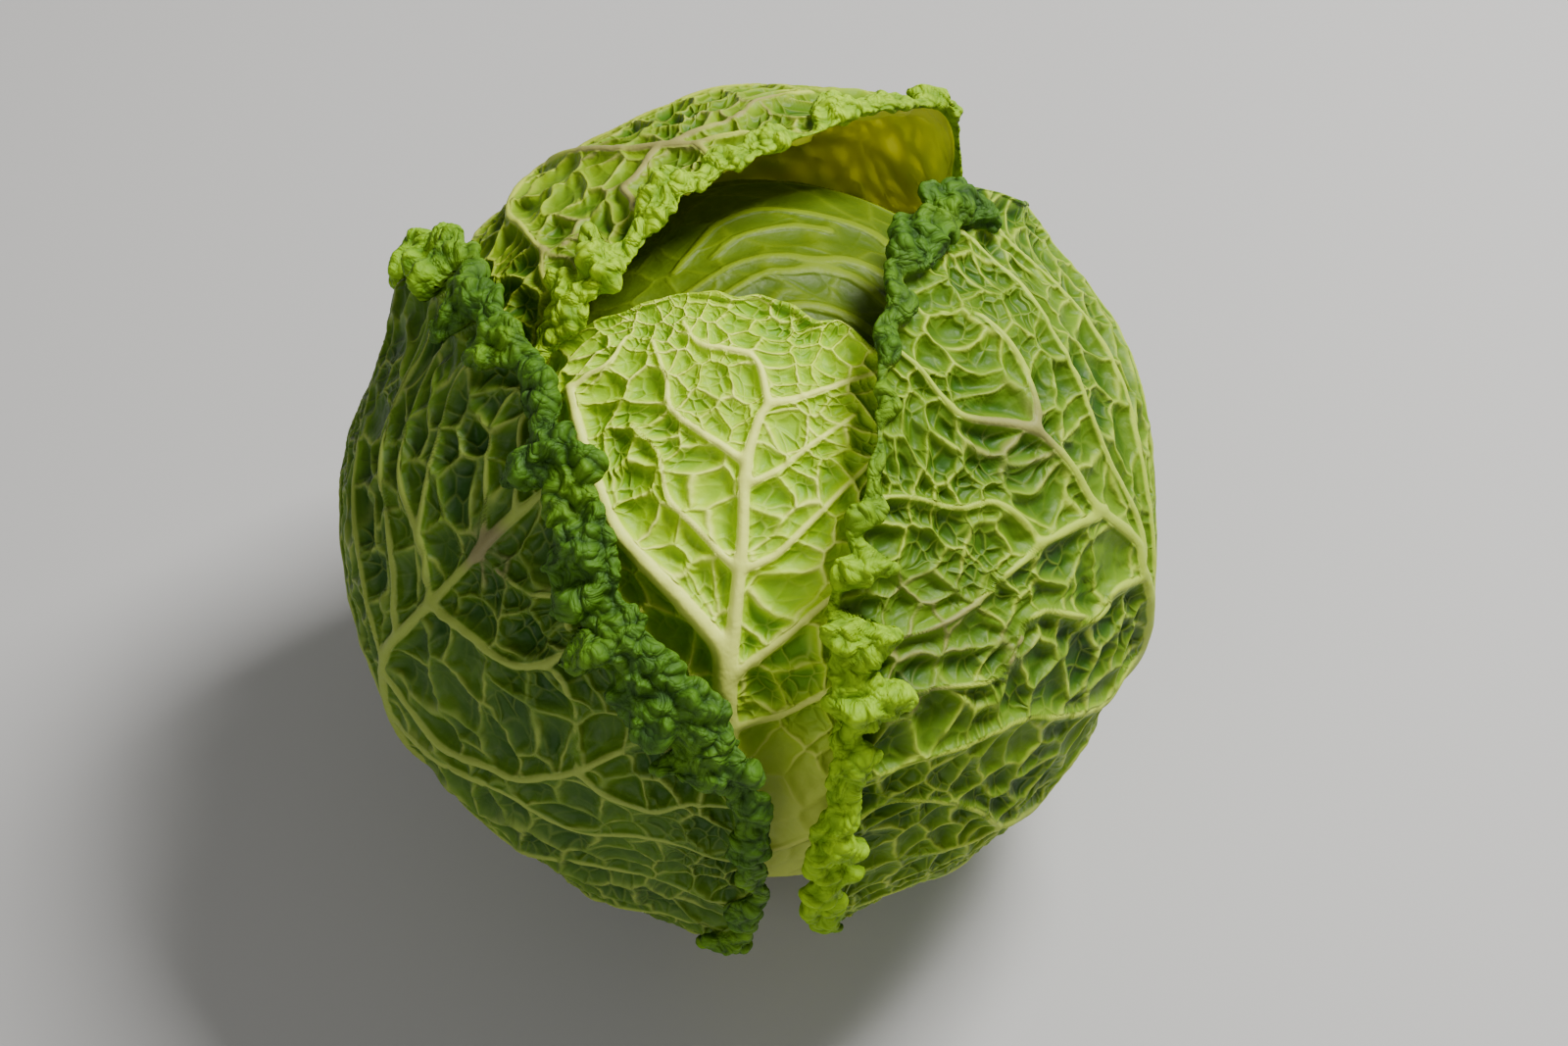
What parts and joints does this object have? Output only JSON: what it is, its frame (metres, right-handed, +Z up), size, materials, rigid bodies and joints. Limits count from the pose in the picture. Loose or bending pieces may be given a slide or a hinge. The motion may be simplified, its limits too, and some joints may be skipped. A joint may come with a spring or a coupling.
{
  "type": "savoy cabbage",
  "caption": "Round head of crinkled, deeply veined leaves wrapped over one another on a short stem cut flat to rest on.",
  "frame": {"origin": "centre of the stem's flat cut face, on which the head rests", "axes": "+Z up through the crown of the head, -Y towards the front, where the pale leaf shows between the two outer leaves, +X to the right seen from the front"},
  "size_m": [0.1692, 0.1709, 0.1612],
  "materials": {
    "stem": "moist, matt, fibrous",
    "wrapper_leaf": "waxy satin, puckered between pale veins",
    "hood_leaf": "waxy satin, puckered, some veins tinted purple",
    "front_leaf": "waxy satin, puckered between cream veins",
    "inner_leaf": "smooth satin"
  },
  "bodies": {
    "root": {"stem": "stem", "heart": "inner_leaf", "leaf_left": "wrapper_leaf", "leaf_right": "wrapper_leaf", "leaf_hood": "hood_leaf", "leaf_front": "front_leaf", "leaf_crown": "inner_leaf", "leaf_inner_left": "inner_leaf", "leaf_inner_right": "inner_leaf"}
  },
  "joints": []
}
